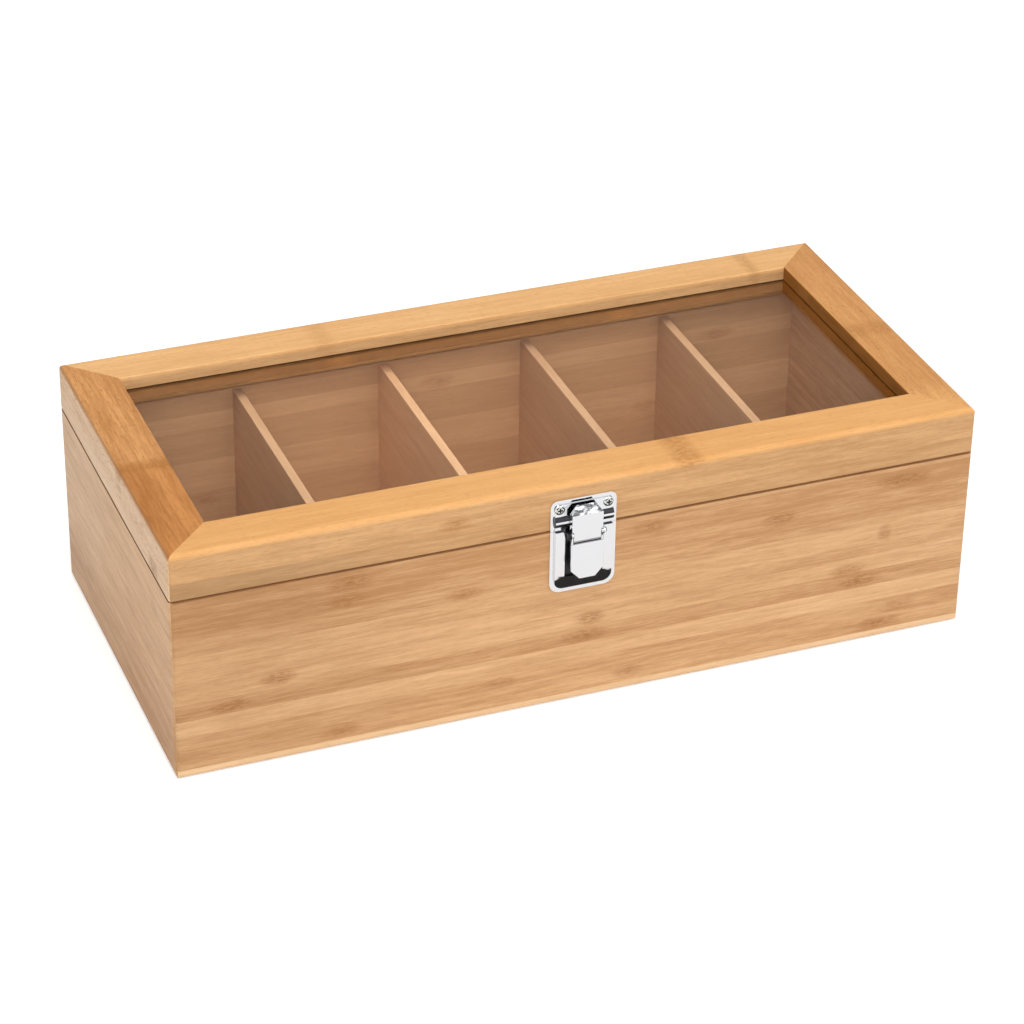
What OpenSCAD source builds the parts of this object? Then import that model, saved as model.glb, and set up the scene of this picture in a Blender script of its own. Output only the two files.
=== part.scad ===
// Tea bag organizer box: a mitred bamboo case with five compartments in one row, a hinged lid
// with a clear window, two small butt hinges in the back seam and a plated toggle latch in front.
// The origin is the middle of the underside. The front faces -Y, and +Z is up.

/* [Case] */
// Outside width of the case
case_w = 362; // [340:1:380]
// Outside depth of the case, without the latch
case_d = 172; // [160:1:190]
// Height of the closed box
case_h = 108.5; // [100:0.5:125]
// Thickness of the case walls and of the lid skirt
wall_t = 11; // [10:0.5:12]
// Radius of the four upright corners
corner_r = 2; // [1:0.5:3]
// Radius of the outer edges along the foot
foot_r = 2; // [1:0.5:3]
// Thickness of the bottom panel
bottom_t = 5; // [4:0.5:6]
// Width of the rebate that the bottom panel is glued into
bottom_rebate = 6; // [5:0.5:7]

/* [Dividers] */
// Thickness of a divider
divider_t = 4; // [3:0.5:5]
// Depth of the upright dados in the front and back panels
dado_depth = 4; // [3:0.5:5]
// How far the dividers stop below the rim of the case
divider_drop = 0.5; // [0.5:0.5:6]

/* [Lid] */
// Height of the lid
lid_h = 21.3; // [20.5:0.1:23]
// Open seam between the lid and the case
seam_gap = 0.4; // [0.4:0.1:0.5]
// Width of the window frame rails
rail_w = 22; // [20:0.5:26]
// Thickness of the window frame rails
rail_t = 13.5; // [12:0.5:13.5]
// Radius of the outer edge around the top
top_r = 3; // [2:0.5:4]
// Thickness of the window pane
pane_t = 2; // [1.5:0.1:2.5]
// Depth of the pane below the top of the rails
pane_drop = 6.3; // [5:0.1:7]
// How far the pane reaches into the rails
pane_bite = 5; // [4:0.5:6]

/* [Hinges] */
// Distance of each hinge from the middle
hinge_x = 126; // [126:1:144]
// Length of a hinge
hinge_len = 26; // [25:1:28]
// Depth of a hinge leaf, from the pin to its front edge
leaf_depth = 8.3; // [8:0.1:8.8]
// Distance of the pin in front of the back face
axis_inset = 1.2; // [1:0.1:1.4]
// Angle at which the bevelled back edges meet
stop_angle = 102; // [96:1:108]

/* [Latch] */
// Place of the latch, to the right of the middle
latch_x = -2; // [-10:0.5:10]
// Width of the two latch plates
latch_w = 29.6; // [29:0.2:31]
// Height of the catch plate on the lid
catch_h = 14.6; // [14.2:0.2:15.6]
// Height of the base plate on the case
base_h = 30.2; // [30:0.2:32]
// Width of the lever
lever_w = 14.6; // [14.2:0.2:14.8]
// Distance of the lever's lower end below the seam
lever_reach = 21.5; // [20.5:0.5:22]

/* [Hidden] */
$fn = 64;

// Heights, seen from the underside
lid_z = case_h - lid_h;
rim_z = lid_z - seam_gap;
seam_z = lid_z - seam_gap / 2;
rail_z = case_h - rail_t;
pane_z = case_h - pane_drop - pane_t;
pane_play = 0.2;

// Compartments and dividers
divider_count = 4;
compartment_w = (case_w - 2 * wall_t - divider_count * divider_t) / (divider_count + 1);
divider_xs = [for (i = [1:divider_count])
    -case_w / 2 + wall_t + i * compartment_w + (i - 0.5) * divider_t];

// Hinges: pin line, leaves, knuckles and screws
axis_y = case_d / 2 - axis_inset;
axis_z = seam_z;
leaf_t = 0.9;
leaf_gap = 0.1;
knuckles = 5;
knuckle_r = 1.7;
knuckle_gap = 0.1;
knuckle_pocket_r = 1.95;
hinge_pin_r = 0.75;
hinge_bore_r = 0.8;
mortise_play = 0.05;
leaf_screw_x = 7;
leaf_screw_y = axis_y - 4.9;
leaf_screw = [0.9, 1.8, 0.9, 6.4];  // shank radius, head radius, head height, length
hole_play = 0.05;

// Latch: sheet, bar and screws. Its sizes are taken outwards from the front face of the
// wood, and upwards from the seam.
sheet = 0.9;
plate_inset = 1.9;
pad_rise = 0.5;
plate_corner_r = 3.2;
base_corner_r = 5;
bar_r = 3;
bar_out = -0.1;
bar_z = 4.6;
bar_len = 26.2;
tray_out = 2.4;
tray_slope_z = -21;
tray_foot_out = 1.3;
window_w = 17.2;
window_foot_z = -22.4;
face_out = 5.9;
lever_pivot = [4.9, -0.7];
hook_pivot = [4.4, -3.2];
pivot_r = 0.75;
pivot_bore_r = 0.8;
ear_in = 7.3;
ear_t = 0.9;
cheek_in = 6.3;
cheek_t = 0.8;
lug_r = 1.35;
hook_knuckle_r = 1.5;
hook_neck_w = 12.2;
hook_head_w = 13.9;
hook_head_z = 0.9;
hook_shoulder_z = 8.9;
hook_top_z = 12.4;
hook_top_w = 8.8;
hook_clear_out = 3.2;
lever_tilt_out = 0.7;
catch_screw_at = [10.9, 10.4];
base_screw_zs = [-11.5, -18.5];
latch_screw = [1.1, 2.3, 0.7, 8.5];  // shank radius, head radius, head height, length under it

bamboo = [0.82, 0.63, 0.43];
bamboo_lid = [0.88, 0.65, 0.41];
bamboo_divider = [0.85, 0.68, 0.50];
clear = [0.75, 0.85, 0.88, 0.35];
plated = [0.85, 0.86, 0.88];

// ---- Shared shapes ----

// Turns what is drawn for the front into the side wanted: 0 front, 1 right, 2 back, 3 left.
module on_side(side) rotate([0, 0, 90 * side]) children();

function side_length(side) = side % 2 == 0 ? case_w : case_d;
function side_front(side) = side % 2 == 0 ? -case_d / 2 : -case_w / 2;

// Extrudes a profile drawn in Y and Z along X, from one x to another.
module along_x(from, to)
    translate([from, 0, 0]) rotate([90, 0, 90]) linear_extrude(to - from) children();

// The waste at a rounded edge: a square with the quarter circle taken out, board in +X and +Y.
module edge_waste(r)
    difference() {
        translate([-1, -1]) square(r + 1);
        translate([r, r]) circle(r);
    }

// The plan of the closed box with its rounded upright corners.
module box_plan()
    union() {
        square([case_w - 2 * corner_r, case_d], center = true);
        square([case_w, case_d - 2 * corner_r], center = true);
        for (x = [-1, 1], y = [-1, 1])
            translate([x * (case_w / 2 - corner_r), y * (case_d / 2 - corner_r)]) circle(corner_r);
    }

// A board along one side with both ends mitred. The children are its profile in Y and Z,
// drawn for the front, and deep is how far the profile reaches inwards.
module mitred_board(side, deep, top_z)
    intersection() {
        on_side(side) along_x(-side_length(side) / 2, side_length(side) / 2) children();
        on_side(side) linear_extrude(top_z) polygon([
            [-side_length(side) / 2, side_front(side)],
            [side_length(side) / 2, side_front(side)],
            [side_length(side) / 2 - deep, side_front(side) + deep],
            [-side_length(side) / 2 + deep, side_front(side) + deep]]);
        linear_extrude(top_z) box_plan();
    }

// ---- Case ----

// Profile of a case wall: rounded foot outside, rebate for the bottom panel inside.
module wall_profile(side)
    difference() {
        translate([side_front(side), 0]) square([wall_t, rim_z]);
        translate([side_front(side), 0]) edge_waste(foot_r);
        translate([side_front(side) + wall_t - bottom_rebate, -1])
            square([bottom_rebate + 1, bottom_t + 1]);
    }

module case_wall(side)
    color(bamboo) difference() {
        mitred_board(side, wall_t, rim_z) wall_profile(side);
        back_bevel(-1);
    }

// The four upright dados in the front panel; the back panel has the same, turned round.
module dados()
    for (x = divider_xs)
        translate([x - divider_t / 2, -case_d / 2 + wall_t - dado_depth, bottom_t])
            cube([divider_t, dado_depth + 1, rim_z]);

module front_panel()
    color(bamboo) difference() {
        case_wall(0);
        dados();
        at_latch() for (z = base_screw_zs) translate([0, 0, z]) screw_hole();
    }

module back_panel()
    color(bamboo) difference() {
        case_wall(2);
        on_side(2) dados();
        for (x = [-hinge_x, hinge_x]) translate([x, 0, 0]) {
            hinge_mortise(-1);
            leaf_screw_holes(-1);
        }
    }

module left_panel() case_wall(3);

module right_panel() case_wall(1);

module bottom_panel()
    color(bamboo) {
        span = 2 * (wall_t - bottom_rebate);
        translate([-(case_w - span) / 2, -(case_d - span) / 2, 0])
            cube([case_w - span, case_d - span, bottom_t]);
    }

module divider(i)
    color(bamboo_divider) {
        long = case_d - 2 * (wall_t - dado_depth);
        translate([divider_xs[i - 1] - divider_t / 2, -long / 2, bottom_t])
            cube([divider_t, long, rim_z - divider_drop - bottom_t]);
    }

// ---- Lid ----

// Profile of a window frame rail: rounded top edge outside, groove for the pane inside.
module rail_profile(side)
    difference() {
        translate([side_front(side), rail_z]) square([rail_w, rail_t]);
        translate([side_front(side), case_h]) mirror([0, 1]) edge_waste(top_r);
        translate([side_front(side) + rail_w - pane_bite - pane_play, pane_z])
            square([pane_bite + 1, pane_t + pane_play]);
    }

module lid_rail(side) color(bamboo_lid) mitred_board(side, rail_w, case_h) rail_profile(side);

module lid_skirt(side)
    color(bamboo) difference() {
        mitred_board(side, wall_t, rail_z)
            translate([side_front(side), lid_z]) square([wall_t, rail_z - lid_z]);
        back_bevel(1);
    }

module lid_front_rail()
    color(bamboo_lid) difference() {
        lid_rail(0);
        at_latch() for (x = [-1, 1])
            translate([x * catch_screw_at[0], 0, catch_screw_at[1]]) screw_hole();
    }

module lid_back_skirt()
    color(bamboo) difference() {
        lid_skirt(2);
        for (x = [-hinge_x, hinge_x]) translate([x, 0, 0]) {
            hinge_mortise(1);
            leaf_screw_holes(1);
        }
    }

module window_pane()
    color(clear) {
        pane_w = case_w - 2 * rail_w + 2 * pane_bite;
        pane_d = case_d - 2 * rail_w + 2 * pane_bite;
        translate([-pane_w / 2, -pane_d / 2, pane_z]) cube([pane_w, pane_d, pane_t]);
    }

// ---- Hinges ----
// Up is +1 for the lid's half of a hinge and -1 for the case's half, which mirrors it.

module mirror_half(up) translate([0, 0, axis_z]) mirror([0, 0, up > 0 ? 0 : 1]) children();

// The bevel along the back seam, taken off the boards' back corners too. The case's bevel and
// the lid's meet when the lid is fully open.
module back_bevel(up)
    mirror_half(up) along_x(-case_w / 2 - 1, case_w / 2 + 1)
        translate([axis_y, 0]) rotate(stop_angle / 2) mirror([0, 1]) square(4 * axis_inset);

// Pocket in the wood for a leaf and for the row of knuckles.
module hinge_mortise(up)
    mirror_half(up) {
        translate([-hinge_len / 2 - mortise_play, axis_y - leaf_depth - mortise_play, 0])
            cube([hinge_len + 2 * mortise_play, leaf_depth + mortise_play, leaf_gap / 2 + leaf_t]);
        along_x(-hinge_len / 2 - 2 * mortise_play, hinge_len / 2 + 2 * mortise_play)
            translate([axis_y, 0]) circle(knuckle_pocket_r);
    }

module leaf_screw_holes(up)
    mirror_half(up) for (x = [-leaf_screw_x, leaf_screw_x])
        translate([x, leaf_screw_y, 0])
            cylinder(r = leaf_screw[0] + hole_play, h = leaf_gap + leaf_screw[3] + 0.3);

// One leaf with every second knuckle: first is 0 for the case's leaf, and 1 for the lid's.
module hinge_leaf(up, first)
    color(plated) mirror_half(up) {
        pitch = hinge_len / knuckles;
        difference() {
            union() {
                translate([-hinge_len / 2, axis_y - leaf_depth, leaf_gap / 2])
                    cube([hinge_len, leaf_depth, leaf_t]);
                for (i = [first:2:knuckles - 1]) knuckle_stretch(i, pitch, knuckle_gap / 2, knuckle_r);
            }
            for (i = [1 - first:2:knuckles - 1])
                knuckle_stretch(i, pitch, -knuckle_gap / 2, knuckle_pocket_r - 0.1);
            along_x(-hinge_len, hinge_len) translate([axis_y, 0]) circle(hinge_bore_r);
            for (x = [-leaf_screw_x, leaf_screw_x]) translate([x, leaf_screw_y, 0]) {
                cylinder(r = leaf_screw[0] + hole_play, h = 3);
                translate([0, 0, leaf_gap / 2]) cylinder(r1 = leaf_screw[1] + hole_play,
                    r2 = leaf_screw[0] + hole_play, h = leaf_screw[2]);
            }
        }
    }

module knuckle_stretch(i, pitch, end_gap, r)
    along_x(-hinge_len / 2 + i * pitch + end_gap, -hinge_len / 2 + (i + 1) * pitch - end_gap)
        translate([axis_y, 0]) circle(r);

module hinge_pin()
    color(plated) along_x(-hinge_len / 2, hinge_len / 2)
        translate([axis_y, axis_z]) circle(hinge_pin_r);

// Four countersunk screws of one half, two through each leaf, with a crossed recess.
module hinge_screws(up)
    color(plated) mirror_half(up) for (x = [-hinge_x, hinge_x], dx = [-leaf_screw_x, leaf_screw_x])
        translate([x + dx, leaf_screw_y, leaf_gap / 2]) difference() {
            union() {
                cylinder(r1 = leaf_screw[1], r2 = leaf_screw[0], h = leaf_screw[2]);
                cylinder(r = leaf_screw[0], h = leaf_screw[3]);
            }
            crossed_recess(2, 0.4, 0.5);
        }

// A crossed slot sunk upwards from the origin.
module crossed_recess(long, wide, deep)
    for (a = [0, 90]) rotate([0, 0, a])
        translate([-long / 2, -wide / 2, -deep]) cube([long, wide, 2 * deep]);

// ---- Latch ----

module at_latch() translate([latch_x, -case_d / 2, seam_z]) children();

// Extrudes a profile drawn as [outwards, up] across the latch, from one x to another.
module across(from, to)
    along_x(from, to) mirror([1, 0]) children();

// Extrudes an outline drawn in X and Z outwards, from one distance to another.
module outwards(from, to)
    translate([0, -from, 0]) rotate([90, 0, 0]) linear_extrude(to - from) children();

// A plate outline from z0 up to z1 with two corners rounded: the upper two, or the lower two.
module plate_outline(w, z0, z1, r, upper)
    union() {
        translate([-w / 2, z0 + (upper ? 0 : r)]) square([w, z1 - z0 - r]);
        translate([-w / 2 + r, z0]) square([w - 2 * r, z1 - z0]);
        for (x = [-1, 1]) translate([x * (w / 2 - r), upper ? z1 - r : z0 + r]) circle(r);
    }

// A hole drilled into the wood from the front face, for a latch screw.
module screw_hole()
    outwards(-latch_screw[3] - 0.3, 1) circle(latch_screw[0] + hole_play);

// Catch plate on the lid: pressed plate with a raised pad and the half-round bar.
module latch_catch_plate()
    color(plated) at_latch() difference() {
        union() {
            outwards(0, sheet) plate_outline(latch_w, seam_gap / 2, catch_h, plate_corner_r, true);
            outwards(0, sheet + pad_rise) plate_outline(latch_w - 2 * plate_inset, seam_gap / 2,
                catch_h - plate_inset, plate_corner_r - plate_inset / 2, true);
            intersection() {
                across(-bar_len / 2, bar_len / 2) translate([bar_out, bar_z]) circle(bar_r);
                outwards(0, 5) translate([-latch_w / 2, 0]) square([latch_w, catch_h]);
            }
        }
        across(-bar_len / 2 + sheet, bar_len / 2 - sheet)
            translate([bar_out, bar_z]) circle(bar_r - sheet);
        for (x = [-1, 1]) translate([x * catch_screw_at[0], 0, catch_screw_at[1]])
            outwards(-1, 5) circle(latch_screw[0] + hole_play);
    }

// A round-headed screw with its head on the plate at the given distance from the wood.
module latch_screw_at(seat)
    outwards_screw(seat) difference() {
        union() {
            translate([0, 0, -latch_screw[3]]) cylinder(r = latch_screw[0], h = latch_screw[3] + 0.1);
            cylinder(r1 = latch_screw[1], r2 = latch_screw[1] - 0.6, h = latch_screw[2]);
        }
        translate([0, 0, latch_screw[2]]) crossed_recess(2.6, 0.55, 0.5);
    }

module outwards_screw(seat) translate([0, -seat, 0]) rotate([90, 0, 0]) children();

module catch_screws()
    color(plated) at_latch() for (x = [-1, 1])
        translate([x * catch_screw_at[0], 0, catch_screw_at[1]]) latch_screw_at(sheet + pad_rise);

// Base plate on the case: flange, raised tray round the lever, and the two ears.
module latch_base_plate()
    color(plated) at_latch() difference() {
        union() {
            outwards(0, sheet) plate_outline(latch_w, -base_h, -seam_gap, base_corner_r, false);
            difference() {
                base_tray();
                outwards(sheet, 5) translate([-window_w / 2, window_foot_z])
                    square([window_w, -window_foot_z + 1]);
            }
            for (x = [-1, 1]) base_ear(x * (ear_in + ear_t / 2));
        }
        for (x = [-1, 1]) translate([x * (window_w + latch_w - 2 * plate_inset) / 4, 0, 0])
            outwards(-1, tray_out - sheet) translate([-1.2, tray_slope_z]) square([2.4, 19]);
        across(-latch_w, latch_w) translate(lever_pivot) circle(pivot_bore_r);
        for (z = base_screw_zs) translate([0, 0, z])
            outwards(-1, 5) circle(latch_screw[0] + hole_play);
    }

// The raised tray: level beside the lever, then falling away below it for a fingertip.
module base_tray()
    intersection() {
        across(-latch_w, latch_w) polygon([[0, -seam_gap], [tray_out, -seam_gap],
            [tray_out, tray_slope_z], [tray_foot_out, -base_h + plate_inset],
            [0, -base_h + plate_inset]]);
        outwards(0, tray_out) plate_outline(latch_w - 2 * plate_inset, -base_h + plate_inset,
            -seam_gap, base_corner_r - plate_inset / 2, false);
    }

module base_ear(x)
    across(x - ear_t / 2, x + ear_t / 2) union() {
        polygon([[sheet - 0.1, -6.6], [sheet - 0.1, -1], [4.4, 0.4], [6.1, -1.2]]);
        translate(lever_pivot) circle(lug_r);
    }

module base_screws()
    color(plated) at_latch() for (z = base_screw_zs)
        translate([0, 0, z]) latch_screw_at(sheet);

// Lever: thumb plate with clipped lower corners, and a cheek on each side for the pivots.
module latch_lever()
    color(plated) at_latch() difference() {
        union() {
            intersection() {
                lever_plate();
                outwards(0, 9) lever_outline();
            }
            for (x = [-1, 1]) lever_cheek(x * (cheek_in + cheek_t / 2));
        }
        across(-lever_w, lever_w) translate(lever_pivot) circle(pivot_bore_r);
        across(-lever_w, lever_w) translate(hook_pivot) circle(pivot_r);
    }

lever_top_z = hook_pivot[1] - hook_knuckle_r - 0.2;

module lever_plate()
    across(-lever_w / 2, lever_w / 2) polygon([
        [face_out - sheet, lever_top_z], [face_out, lever_top_z],
        [face_out + lever_tilt_out, -lever_reach],
        [face_out + lever_tilt_out - sheet, -lever_reach]]);

module lever_outline()
    polygon([[-lever_w / 2, 0], [lever_w / 2, 0], [lever_w / 2, -lever_reach + 4],
        [lever_w / 2 - 3.8, -lever_reach], [-lever_w / 2 + 3.8, -lever_reach],
        [-lever_w / 2, -lever_reach + 4]]);

module lever_cheek(x)
    across(x - cheek_t / 2, x + cheek_t / 2) union() {
        polygon([[3.6, -0.6], [3.05, -3.2], [2.8, -9], [3.6, -lever_reach + 4.6],
            [face_out, -lever_reach + 4.2], [face_out - 0.3, lever_top_z],
            [hook_pivot[0] + lug_r, hook_pivot[1]], [lever_pivot[0] + lug_r, lever_pivot[1]]]);
        translate(lever_pivot) circle(lug_r);
        translate(hook_pivot) circle(lug_r);
    }

// The two rivets that carry the lever in the ears, each with a flat head outside.
module lever_rivets()
    color(plated) at_latch() for (x = [-1, 1]) {
        inner = cheek_in + 0.05;
        outer = ear_in + ear_t;
        across(x > 0 ? inner : -outer, x > 0 ? outer : -inner)
            translate(lever_pivot) circle(pivot_r);
        across(x > 0 ? outer : -outer - 0.4, x > 0 ? outer + 0.4 : -outer)
            translate(lever_pivot) circle(lug_r - 0.15);
    }

// Hook: a knuckle on its pin, a neck between the cheeks, and a hollow head with a sloping top.
module latch_hook()
    color(plated) at_latch() difference() {
        union() {
            across(-hook_neck_w / 2, hook_neck_w / 2) union() {
                translate(hook_pivot) circle(hook_knuckle_r);
                translate([face_out - sheet, hook_pivot[1]])
                    square([sheet, hook_head_z - hook_pivot[1] + 0.1]);
            }
            hook_head(0);
        }
        hook_head(sheet);
        across(-hook_neck_w, hook_neck_w) translate(hook_pivot) circle(pivot_bore_r);
    }

// The head's outer shape, or with a wall taken off all round, the hollow in it.
module hook_head(wall)
    intersection() {
        across(-hook_head_w / 2 + wall, hook_head_w / 2 - wall) polygon([
            [hook_clear_out - wall, hook_head_z - wall], [face_out - wall, hook_head_z - wall],
            [face_out - wall, hook_shoulder_z - wall / 2],
            [hook_clear_out - wall, hook_top_z - wall / 2]]);
        outwards(hook_clear_out - 1, face_out) polygon([
            [-hook_head_w / 2 + wall, hook_head_z - wall],
            [hook_head_w / 2 - wall, hook_head_z - wall],
            [hook_head_w / 2 - wall, hook_shoulder_z - wall / 2],
            [hook_top_w / 2 - wall / 2, hook_top_z - wall],
            [-hook_top_w / 2 + wall / 2, hook_top_z - wall],
            [-hook_head_w / 2 + wall, hook_shoulder_z - wall / 2]]);
    }

module hook_pin()
    color(plated) at_latch() across(-cheek_in - cheek_t - 0.05, cheek_in + cheek_t + 0.05)
        translate(hook_pivot) circle(pivot_r);

// ---- Assembly ----

front_panel();
back_panel();
left_panel();
right_panel();
bottom_panel();
divider(1);  // divider_1
divider(2);  // divider_2
divider(3);  // divider_3
divider(4);  // divider_4
lid_front_rail();
lid_rail(2);  // lid_back_rail
lid_rail(3);  // lid_left_rail
lid_rail(1);  // lid_right_rail
lid_skirt(0);  // lid_front_skirt
lid_back_skirt();
lid_skirt(3);  // lid_left_skirt
lid_skirt(1);  // lid_right_skirt
window_pane();
translate([-hinge_x, 0, 0]) hinge_leaf(-1, 0);  // hinge_case_leaf_left
translate([hinge_x, 0, 0]) hinge_leaf(-1, 0);  // hinge_case_leaf_right
translate([-hinge_x, 0, 0]) hinge_leaf(1, 1);  // hinge_lid_leaf_left
translate([hinge_x, 0, 0]) hinge_leaf(1, 1);  // hinge_lid_leaf_right
translate([-hinge_x, 0, 0]) hinge_pin();  // hinge_pin_left
translate([hinge_x, 0, 0]) hinge_pin();  // hinge_pin_right
hinge_screws(-1);  // hinge_case_screws
hinge_screws(1);  // hinge_lid_screws
latch_catch_plate();
catch_screws();
latch_base_plate();
base_screws();
latch_lever();
lever_rivets();
latch_hook();
hook_pin();
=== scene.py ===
# Tea bag organizer box: a mitred bamboo case with five compartments, a hinged lid with a clear
# window, two small butt hinges in the back seam and a chrome toggle latch in front. The script
# makes the pieces in the order in which a maker would put them together.

import math

import bmesh
import bpy
from mathutils import Matrix, Vector


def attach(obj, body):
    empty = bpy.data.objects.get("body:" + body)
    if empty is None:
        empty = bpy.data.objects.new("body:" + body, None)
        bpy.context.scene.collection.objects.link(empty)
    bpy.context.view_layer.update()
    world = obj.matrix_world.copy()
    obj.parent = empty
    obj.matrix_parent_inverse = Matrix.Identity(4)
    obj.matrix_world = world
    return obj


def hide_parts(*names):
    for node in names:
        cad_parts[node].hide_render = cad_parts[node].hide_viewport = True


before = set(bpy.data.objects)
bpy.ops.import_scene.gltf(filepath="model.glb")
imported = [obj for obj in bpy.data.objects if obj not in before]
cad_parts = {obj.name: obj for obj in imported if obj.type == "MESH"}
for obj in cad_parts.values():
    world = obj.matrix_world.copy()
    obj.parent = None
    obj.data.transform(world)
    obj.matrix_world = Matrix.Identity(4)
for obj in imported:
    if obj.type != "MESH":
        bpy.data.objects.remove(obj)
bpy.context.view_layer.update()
MM = 0.001


# ---- Camera ----
# The place and the turn of the photographer's camera, as found by fitting the box's straight
# edges. It looks down on the box from its front left corner, with a long lens.

camera_place = (-0.47777, -1.21492, 0.82899)
camera_right = Vector((0.933413, -0.358557, 0.013306))
camera_up = Vector((0.174064, 0.484938, 0.857052))
camera_lens = 120.5
camera_sensor = 36

camera = bpy.data.objects.new("camera", bpy.data.cameras.new("camera"))
camera.data.lens = camera_lens
camera.data.sensor_width = camera_sensor
camera.matrix_world = Matrix.Translation(camera_place) @ Matrix(
    (camera_right, camera_up, camera_right.cross(camera_up))).transposed().to_4x4()
bpy.context.scene.collection.objects.link(camera)
bpy.context.scene.camera = camera


# ---- Case walls ----
# Four bamboo boards, pressed from strips about 8 mm high, with mitred and glued corners and
# eased arrises. The back board's top edge and the side boards' back ends are bevelled, so that
# the lid can lean back.

case_w, case_d, case_h = 362, 172, 108.5
wall_t = 11
rim_z, lid_z = 86.75, 87.25
bottom_t = 5
rebate_d = 5
corner_r = 2
foot_r = 2.5
arris_r = 0.5
pin_inset, pin_z = 1.2, 87
stop_angle = 102
stop_slope = math.tan(math.radians(stop_angle / 2))
corner_steps = 5
strip_h = 8.05
strip_start = 3.97


def add(tree, kind, inputs=None, **settings):
    """A node of that kind with its settings, and its inputs set, or linked to a node's first
    output or to the output given."""
    node = tree.nodes.new(kind)
    for key, value in settings.items():
        setattr(node, key, value)
    for key, value in (inputs or {}).items():
        if isinstance(value, bpy.types.Node):
            value = value.outputs[0]
        if isinstance(value, bpy.types.NodeSocket):
            tree.links.new(value, node.inputs[key])
        else:
            node.inputs[key].default_value = value
    return node


def calc(tree, operation, *values):
    """The result of one Math node."""
    node = add(tree, "ShaderNodeMath", dict(enumerate(values)), operation=operation)
    return node.outputs[0]


def ease(tree, value, low, high, below=0.0, above=1.0):
    """A smooth step of the value between two levels, from below to above."""
    return add(tree, "ShaderNodeMapRange", {
        "Value": value, "From Min": low, "From Max": high, "To Min": below, "To Max": above},
        interpolation_type="SMOOTHSTEP").outputs[0]


def new_group(name, kind, inputs, outputs):
    """A node group, with each input and output given as a number or as a type of socket."""
    tree = bpy.data.node_groups.new(name, kind)
    for in_out, sockets in (("INPUT", inputs), ("OUTPUT", outputs)):
        for label, value in sockets.items():
            socket = value if isinstance(value, str) else type(value).__name__.title()
            made = tree.interface.new_socket(label, in_out=in_out,
                                             socket_type="NodeSocket" + socket)
            if socket != value:
                made.default_value = value
    return tree, add(tree, "NodeGroupInput").outputs, add(tree, "NodeGroupOutput").inputs


def finish_tree(tree, result, geometry, material):
    """Ends a geometry tree: instances made real, and the material given."""
    real = add(tree, "GeometryNodeRealizeInstances", {"Geometry": geometry})
    painted = add(tree, "GeometryNodeSetMaterial", {"Geometry": real, "Material": material})
    tree.links.new(painted.outputs[0], result["Geometry"])


def mitred_board_tree():
    """Draws a section out along X, mitres both ends, and rounds the two outer corners."""
    tree, given, result = new_group(
        "mitred board", "GeometryNodeTree",
        {"Geometry": "Geometry", "Length": 0.3, "Front": -0.1, "Corner Radius": 0.002,
         "Corner Steps": 5, "Material": "Material"}, {"Geometry": "Geometry"})
    half = calc(tree, "MULTIPLY", given["Length"], 0.5)
    straight = calc(tree, "SUBTRACT", half, given["Corner Radius"])

    # Cross cuts along the board: one at the start and end of each step round a corner.
    cuts = calc(tree, "MULTIPLY", calc(tree, "ADD", given["Corner Steps"], 1), 2)
    index = add(tree, "GeometryNodeInputIndex").outputs[0]
    last = calc(tree, "SUBTRACT", cuts, 1)
    step = calc(tree, "MINIMUM", index, calc(tree, "SUBTRACT", last, index))
    end = calc(tree, "SIGN", calc(tree, "SUBTRACT", index, calc(tree, "MULTIPLY", last, 0.5)))
    share = calc(tree, "SUBTRACT", 1, calc(tree, "DIVIDE", step, given["Corner Steps"]))
    sine = calc(tree, "SINE", calc(tree, "MULTIPLY", share, math.pi / 4))
    reach = calc(tree, "MULTIPLY_ADD", given["Corner Radius"], sine, straight)
    place = add(tree, "ShaderNodeCombineXYZ", {"X": calc(tree, "MULTIPLY", reach, end)})
    line = add(tree, "GeometryNodeMeshLine", {"Count": cuts, "Offset": (0, 0, 0)})
    line = add(tree, "GeometryNodeSetPosition", {"Geometry": line, "Position": place})
    path = add(tree, "GeometryNodeMeshToCurve", {"Mesh": line})
    section = add(tree, "GeometryNodeMeshToCurve", {"Mesh": given["Geometry"]})
    board = add(tree, "GeometryNodeCurveToMesh",
                {"Curve": path, "Profile Curve": section, "Fill Caps": True})

    # Each point keeps behind the rounded corner, and inside the mitre.
    at = add(tree, "ShaderNodeSeparateXYZ",
             {0: add(tree, "GeometryNodeInputPosition")}).outputs
    out = calc(tree, "ABSOLUTE", at["X"])
    past = calc(tree, "MAXIMUM", calc(tree, "SUBTRACT", out, straight), 0)
    rest = calc(tree, "SUBTRACT", calc(tree, "POWER", given["Corner Radius"], 2),
                calc(tree, "POWER", past, 2))
    fall = calc(tree, "SUBTRACT", given["Corner Radius"], calc(tree, "SQRT", rest))
    deep = calc(tree, "MAXIMUM", calc(tree, "SUBTRACT", at["Y"], given["Front"]), fall)
    kept = calc(tree, "MINIMUM", out, calc(tree, "SUBTRACT", half, deep))
    moved = add(tree, "ShaderNodeCombineXYZ",
                {"X": calc(tree, "MULTIPLY", kept, calc(tree, "SIGN", at["X"])),
                 "Y": calc(tree, "ADD", deep, given["Front"]), "Z": at["Z"]})
    board = add(tree, "GeometryNodeSetPosition", {"Geometry": board, "Position": moved})
    board = add(tree, "GeometryNodeMergeByDistance", {"Geometry": board, "Distance": 0.00001})
    finish_tree(tree, result, board, given["Material"])
    return tree


def keep_shape(piece):
    """Keeps the mesh as the modifiers make it, and takes the modifiers off."""
    drawn = piece.data
    bpy.context.view_layer.update()
    shaped = piece.evaluated_get(bpy.context.evaluated_depsgraph_get())
    piece.data = bpy.data.meshes.new_from_object(shaped)
    piece.modifiers.clear()
    bpy.data.meshes.remove(drawn)


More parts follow.
